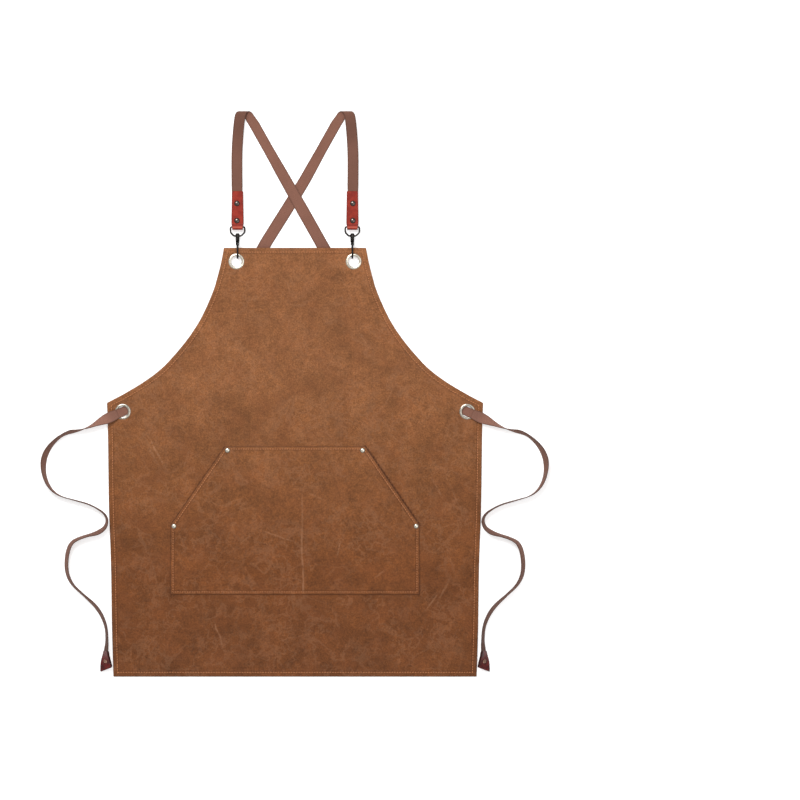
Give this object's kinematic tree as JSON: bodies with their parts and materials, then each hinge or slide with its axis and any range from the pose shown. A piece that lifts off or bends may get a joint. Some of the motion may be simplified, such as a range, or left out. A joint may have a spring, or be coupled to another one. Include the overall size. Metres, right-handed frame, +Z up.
{
  "type": "butcher apron",
  "caption": "Waxed canvas bib apron lying flat, with crossed shoulder straps clipped to eyelets, a kangaroo pocket and leather-tipped waist ties.",
  "frame": {"origin": "on the flat surface the apron lies on, under the middle of its length and width, ties not counted", "axes": "+X across the apron to the right as its front is seen from above, +Y up the apron from hem to bib and shoulder folds, +Z up out of the front face"},
  "size_m": [0.9186, 1.0308, 0.02],
  "materials": {
    "canvas": "waxed, matt",
    "webbing": "woven, matt",
    "leather": "burnished",
    "nickel": "polished nickel plate",
    "gunmetal": "black nickel plate",
    "spring_steel": "drawn wire"
  },
  "bodies": {
    "apron": {"apron_panel": "canvas", "front_pocket": "canvas", "bib_eyelet_left": "nickel", "bib_eyelet_right": "nickel", "bib_washer_left": "nickel", "bib_washer_right": "nickel", "waist_eyelet_left": "nickel", "waist_eyelet_right": "nickel", "waist_washer_left": "nickel", "waist_washer_right": "nickel", "pocket_rivet_caps": "nickel", "pocket_rivet_backs": "nickel", "strap_left": "webbing", "strap_right": "webbing", "leather_tab_left": "leather", "leather_tab_right": "leather", "tab_rivet_caps_left": "nickel", "tab_rivet_caps_right": "nickel", "tab_rivet_backs_left": "nickel", "tab_rivet_backs_right": "nickel", "tie_left": "webbing", "tie_right": "webbing", "tie_tip_left": "leather", "tie_tip_right": "leather", "tip_rivet_left": "nickel", "tip_rivet_right": "nickel"},
    "eye_left": {"swivel_eye_left": "gunmetal"},
    "hook_left": {"hook_body_left": "gunmetal", "gate_pin_left": "gunmetal", "gate_spring_left": "spring_steel"},
    "gate_left": {"hook_gate_left": "gunmetal"},
    "eye_right": {"swivel_eye_right": "gunmetal"},
    "hook_right": {"hook_body_right": "gunmetal", "gate_pin_right": "gunmetal", "gate_spring_right": "spring_steel"},
    "gate_right": {"hook_gate_right": "gunmetal"}
  },
  "joints": [
    {"name": "eye_tilt_left", "type": "hinge", "parent": "apron", "child": "eye_left", "pos_m": [-0.1044, 0.3032, 0.0087], "axis": [-1, 0, 0], "range_deg": [0, 1]},
    {"name": "hook_swivel_left", "type": "hinge", "parent": "eye_left", "child": "hook_left", "pos_m": [-0.1044, 0.2868, 0.0087], "axis": [0, 1, 0], "range_deg": [-22, 22]},
    {"name": "gate_pivot_left", "type": "hinge", "parent": "hook_left", "child": "gate_left", "pos_m": [-0.1044, 0.272, 0.0152], "axis": [1, 0, 0], "range_deg": [0, 14], "stiffness_Nm_per_rad": 0.02, "springref_deg": -17.19},
    {"name": "eye_tilt_right", "type": "hinge", "parent": "apron", "child": "eye_right", "pos_m": [0.1044, 0.3032, 0.0087], "axis": [-1, 0, 0], "range_deg": [0, 1]},
    {"name": "hook_swivel_right", "type": "hinge", "parent": "eye_right", "child": "hook_right", "pos_m": [0.1044, 0.2868, 0.0087], "axis": [0, 1, 0], "range_deg": [-22, 22]},
    {"name": "gate_pivot_right", "type": "hinge", "parent": "hook_right", "child": "gate_right", "pos_m": [0.1044, 0.272, 0.0152], "axis": [1, 0, 0], "range_deg": [0, 14], "stiffness_Nm_per_rad": 0.02, "springref_deg": -17.19}
  ]
}
